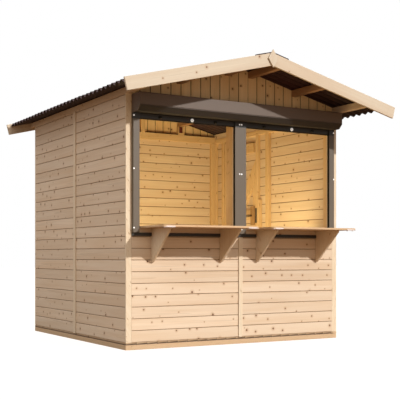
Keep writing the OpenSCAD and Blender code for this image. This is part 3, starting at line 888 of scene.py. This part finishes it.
# round fittings, as radius and height pairs
stopProfile = [(0.013, 0.0), (0.013, 0.003), (0.0118, 0.0045), (0.0102, 0.0145), (0.009, 0.016),
               (0.0045, 0.016), (0.004, 0.013), (0.0005, 0.013)]
lockProfile = [(0.0135, 0.0), (0.0135, 0.0045), (0.0125, 0.0066), (0.0102, 0.0074), (0.0086, 0.008),
               (0.0082, 0.0062), (0.0005, 0.006)]
screw = [(0.0064, 0.0), (0.0064, 0.0008), (0.0056, 0.002), (0.0034, 0.0028), (0.0018, 0.0028),
         (0.0015, 0.0014), (0.0003, 0.0014)]
turnedPiece("shutterStoppers", stopProfile, faceCentres("shutter_stoppers"), "-y", blackRubberPaint,
            "stall", ["shutter_stoppers"], 24)
turnedPiece("shutterLocks", lockProfile, faceCentres("shutter_locks"), "-y", glowingSteelPaint,
            "stall", ["shutter_locks"], 24)
keyway = {"halfWidth": 0.0008, "halfHeight": 0.0045, "outer": 0.0066, "inner": 0.0058}
keyways = Lumber("shutterKeyways")
for x, y, z in faceCentres("shutter_locks"):
    wide, tall = keyway["halfWidth"], keyway["halfHeight"]
    slit = rectangle(x - wide, z - tall, x + wide, z + tall)
    keyways.extrude("xz", slit, y - keyway["outer"], y - keyway["inner"], "zxy")
keyways.make(blackRubberPaint, "stall", "rubber")

railScrew = {"leftIn": 0.005, "rightIn": 0.006, "middle": 0.0095, "heights": (0.914, 1.356, 1.752)}
screwLines = (railLow.x + railScrew["leftIn"], -railScrew["middle"], railScrew["middle"],
              railHigh.x - railScrew["rightIn"])
railScrews = [(x, railLow.y, z) for x in screwLines for z in railScrew["heights"]]
turnedPiece("railScrews", screw, railScrews, "-y", glowingSteelPaint, "stall")
boxScrew = {"sunk": 0.0028, "places": ((-1.0, 1.9), (-1.108, 1.9), (-1.0, 1.79))}
endLow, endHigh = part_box("shutter_box_ends")
for name, x, axis in (("boxScrewsLeft", endLow.x + boxScrew["sunk"], "-x"),
                      ("boxScrewsRight", endHigh.x - boxScrew["sunk"], "x")):
    boxScrews = [(x, y, z) for y, z in boxScrew["places"]]
    turnedPiece(name, screw, boxScrews, axis, zincSteelPaint, "stall")
print("the shutters are up")

# counters: four planks each, the front one with rounded corners

counterLow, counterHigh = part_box("counter_boards")
counter = {"planks": 4, "gap": 0.0012, "corner": 0.022, "steps": 8, "bevel": 0.0016}


def counterOutline(x0, x1, y0, y1, corner):
    if corner == 0:
        return rectangle(x0, y0, x1, y1)
    outline = [(x1, y1), (x0, y1)]
    for cx, turnFrom in ((x0 + corner, math.pi), (x1 - corner, 1.5 * math.pi)):
        for i in range(counter["steps"] + 1):
            angle = turnFrom + i * math.pi / 2 / counter["steps"]
            outline.append((cx + corner * math.cos(angle), y0 + corner + corner * math.sin(angle)))
    return outline


counters = Lumber("counterBoards")
counterInner = innerSide("counter_boards")
plank = (counterHigh.y - counterLow.y) / counter["planks"]
for x0, x1 in ((counterLow.x, -counterInner), (counterInner, counterHigh.x)):
    for i in range(counter["planks"]):
        y0 = counterLow.y + i * plank + (counter["gap"] / 2 if i else 0)
        y1 = counterLow.y + (i + 1) * plank - (counter["gap"] / 2 if i < counter["planks"] - 1 else 0)
        outline = counterOutline(x0, x1, y0, y1, 0 if i else counter["corner"])
        counters.extrude("xy", outline, counterLow.z, counterHigh.z, "xyz")
counters.make(counterBoardPaint, "stall", "counter_wood", ["counter_boards"], counter["bevel"], 2)

plateLip = {"rise": 0.007, "thickness": 0.0012, "screwIn": (0.2, 0.8), "bevel": 0.0004}
lips = Lumber("cornerPlateLips")
plateScrews = []
# a lip turns up in front of its counter, between the rounded corners
bends = [x + way * counter["corner"] for x in (-counterHigh.x, -counterInner, counterInner, counterHigh.x)
         for way in (-1, 1)]
for low, high in islands("counter_corner_plates"):
    middle = (low + high) / 2
    x0 = max([low.x] + [bend for bend in bends if low.x < bend < middle.x])
    x1 = min([high.x] + [bend for bend in bends if middle.x < bend < high.x])
    lip = rectangle(x0, low.z, x1, counterLow.z + plateLip["rise"])
    lips.extrude("xz", lip, counterLow.y - plateLip["thickness"], counterLow.y, "xzy")
    plateScrews += [(low.x + (high.x - low.x) * share, middle.y, low.z) for share in plateLip["screwIn"]]
lips.make(platePaint, "stall", "zinc_steel", bevel=plateLip["bevel"])
panHead = [(0.0066, 0.0), (0.0066, 0.002), (0.0052, 0.0044), (0.0024, 0.0052), (0.0004, 0.0052)]
turnedPiece("cornerPlateScrews", panHead, plateScrews, "-z", platePaint, "stall")

# door

doorLow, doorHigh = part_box("door_boards")
door = Lumber("doorBoards")
layBoards(door, "yzx", (doorLow.y, doorHigh.y), (doorLow.z, doorHigh.z), doorLow.x, doorHigh.x, wallFoot)
door.make(wallBoardPaint, "door", "wall_wood", ["door_boards"])

# stops behind the door's gaps, fixed to the jambs
stop = {"deep": 0.006, "clear": 0.001, "over": 0.0035}
stops = Lumber("doorStops")
stopHigh = doorLow.x - stop["clear"]
stopLow = stopHigh - stop["deep"]
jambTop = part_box("right_wall_posts")[1].z
y0, y1 = doorLow.y + stop["over"], doorHigh.y - stop["over"]
for a, b in ((overDoor[0].y, y0), (y1, overDoor[1].y)):
    stops.extrude("xy", rectangle(stopLow, a, stopHigh, b), floorTop.z, jambTop, "zxy")
for a, b in ((floorTop.z, doorLow.z + stop["over"]), (doorHigh.z - stop["over"], jambTop)):
    stops.extrude("xz", rectangle(stopLow, a, stopHigh, b), y0, y1, "yzx")
stops.make(trimBoardPaint, "stall", "frame_wood")
print("counters and door are on")

# painted shadow: a dark strip on the rear rail between the gable posts, where the shadow line under the
# gable boards falls, and a dark plate on one of the posts for a shaded slot
railRear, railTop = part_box("rear_wall_rails")
railShadowStrip = {"height": 0.008, "inset": 0.002, "short": 0.001, "colour": "#3a2012"}
shadowStrip = Lumber("gableShadowStrip")
section = rectangle(railRear.y + railShadowStrip["inset"], railTop.z, railTop.y - railShadowStrip["inset"],
                    railTop.z + railShadowStrip["height"])
ends = [railRear.x]
for low, high in islands("gable_posts"):
    if low.y > 0:
        ends += [low.x, high.x]
ends.append(railTop.x)
for start, end in zip(ends[::2], ends[1::2]):
    if end - start > board["least"]:
        shadowStrip.extrude("yz", section, start + railShadowStrip["short"], end - railShadowStrip["short"], "xyz")
shadowStrip.make(rubberPaint("gableShadowPaint", railShadowStrip["colour"]), "stall", "rubber")
slotShadePlate = {"x": (0.521, 0.56), "z": (1.961, 2.025), "thickness": 0.0015, "bevel": 0.0004,
             "colour": "#5a2018"}
plate = Lumber("slotShadePlate")
(x0, x1), (z0, z1) = slotShadePlate["x"], slotShadePlate["z"]
plate.extrude("xz", rectangle(x0, z0, x1, z1), railRear.y - slotShadePlate["thickness"], railRear.y, "zxy")
plate.make(rubberPaint("slotShadeCoat", slotShadePlate["colour"]), "stall", "dark_metal",
           bevel=slotShadePlate["bevel"])

# finishes of the pieces kept as they are

keptWood = {
    ("floor", "yxz"): ["base_side_rails"],
    ("floor", "xyz"): ["base_bearers"],
    ("frame", "zyx"): ["left_wall_posts", "right_wall_posts", "lock_side_post", "door_stiles",
                       "door_braces"],
    ("frame", "yzx"): ["left_wall_rails", "right_wall_rails", "door_ledges"],
    ("frame", "zxy"): ["rear_wall_posts", "front_wall_posts", "gable_posts"],
    ("frame", "xzy"): ["rear_wall_rails", "front_wall_rails"],
    ("trim", "zxy"): ["front_post_facings", "corner_boards", "joint_battens"],
    ("trim", "zyx"): ["counter_brackets"],
    ("purlin", "yzx"): ["ridge_purlins", "middle_purlins"],
    ("wall", "yzx"): ["eave_purlins"],
}
keptMetal = {
    "shutter_box_ends": shutterPaint, "sill_bar": darkAndShadedPaint, "counter_corner_plates": platePaint,
    "door_hinge_straps": zincSteelPaint, "door_hinge_plates": zincSteelPaint, "door_lock": lockPaint,
    "door_handles": handlePaint, "lock_keep": darkAndShadedPaint,
}
keptEase = {"wood": 0.0018, "metal": 0.0006}


def repaint(node, paint, ease):
    made = nodes[node]
    made.data.materials.clear()
    made.data.materials.append(paint.material)
    weld = made.modifiers.new("weldedEdges", "WELD")
    weld.merge_threshold = tiny
    easeEdges(made, ease)


for (tone, grain), pieces in keptWood.items():
    paint = woodPaint(f"{tone}Wood_{grain}", tone, grain)
    for node in pieces:
        repaint(node, paint, keptEase["wood"])
for node, paint in keptMetal.items():
    repaint(node, paint, keptEase["metal"])
print("every kept piece has its finish")

# floor, light and camera

studio = {
    "backdrop": 1.0, "skyLow": 0.33, "skyRise": 1.2,
    "floorShown": 0.95, "floorHalf": 40.0, "floorPale": "#7a5b3c", "floorDeep": "#765738",
}
sun = {
    "place": (3.0, -6.0, 4.0), "side": 25.0, "height": 27.0, "size": 1.6, "power": 3.02,
    "tint": (1.0, 0.985, 0.96),
}
areaLights = {
    # a light without a goal faces straight up
    "insideFill": {"place": (0.0, 0.05, 0.3), "goal": None, "size": (1.3, 1.1), "power": 15.0,
                   "tint": "#ffecb2"},
    "counterGlow": {"place": (0.0, -0.7, 0.8), "goal": (0.0, 0.97, 2.0), "size": (1.5, 0.3), "power": 14.0,
                    "tint": "#ffecb2"},
    "frontFill": {"place": (-1.2, -5.0, 0.8), "goal": (0.0, -1.0, 1.2), "size": (3.0, 3.0), "power": 26.0,
                  "tint": "#ffe6c6"},
    "sideFill": {"place": (-6.0, 0.5, 1.6), "goal": (-1.0, 0.0, 1.1), "size": (3.0, 3.0), "power": 26.0,
                 "tint": "#ffffff"},
}


def studioFloor():
    half = studio["floorHalf"]
    corners = [(x, y, 0.0) for x, y in rectangle(-half, -half, half, half)]
    made = meshObject("studioFloor", corners, [[0, 1, 2, 3]])
    # shows pale, but throws little light back up under the roof and the counters
    paint = Paint("paleFloor", Specular_IOR_Level=0.1)
    cloud = paint.noise(paint.here(), 0.7, 3.0)
    paint.colour(paint.mix(cloud, fromHex(studio["floorDeep"]), fromHex(studio["floorPale"])))
    shown = paint.node("LightPath", {}, {}, "Is Camera Ray") * studio["floorShown"]
    paint.plug(paint.surface.inputs["Emission Color"], paint.join(shown, shown, shown))
    paint.surface.inputs["Emission Strength"].default_value = 1.0
    paint.rough(cloud * 0.05 + 0.8)
    made.data.materials.append(paint.material)


def studioWorld():
    # soft light that grows towards the top, while the backdrop itself shows as white
    world = bpy.data.worlds.new("paleStudio")
    world.use_nodes = True
    sky = Recipe(world.node_tree)
    up = sky.parts(sky.node("TexCoord", {}, {}, "Generated"))[2]
    seen = sky.node("LightPath", {}, {}, "Is Camera Ray")
    light = sky.ease(up, 0.0, 1.0, studio["skyLow"], studio["skyLow"] + studio["skyRise"])
    background = sky.nodes["Background"]
    sky.plug(background.inputs["Strength"], light * (1 - seen) + seen * studio["backdrop"])
    sky.plug(background.inputs["Color"], (1.0, 1.0, 1.0))
    bpy.context.scene.world = world


def addLight(name, kind, place, turn, power, colour):
    lamp = bpy.data.lights.new(name, kind)
    lamp.energy = power
    lamp.color = colour
    made = bpy.data.objects.new(name, lamp)
    made.location = place
    made.rotation_euler = turn
    made.visible_camera = False
    bpy.context.scene.collection.objects.link(made)
    return lamp


studioFloor()
studioWorld()
sunTurn = (math.radians(90 - sun["height"]), 0.0, math.radians(sun["side"]))
keySun = addLight("keySun", "SUN", sun["place"], sunTurn, sun["power"], sun["tint"])
keySun.angle = math.radians(sun["size"])
for name, light in areaLights.items():
    turn = (math.pi, 0.0, 0.0)
    if light["goal"]:
        turn = (Vector(light["goal"]) - Vector(light["place"])).to_track_quat("-Z", "Y").to_euler()
    lamp = addLight(name, "AREA", light["place"], turn, light["power"], fromHex(light["tint"]))
    lamp.shape = "RECTANGLE"
    lamp.size, lamp.size_y = light["size"]

view = {"place": (-3.796, -6.835, 0.706), "azimuth": -30.43, "lens": 78.17, "film": 36.0, "shift": 0.139}
lens = bpy.data.cameras.new("studioCamera")
lens.lens = view["lens"]
lens.sensor_width = view["film"]
lens.shift_y = view["shift"]
camera = bpy.data.objects.new("studioCamera", lens)
camera.location = view["place"]
camera.rotation_euler = (math.radians(90), 0.0, math.radians(view["azimuth"]))
bpy.context.scene.collection.objects.link(camera)
bpy.context.scene.camera = camera
bpy.context.scene.view_settings.view_transform = "Standard"

print("the stall is ready")
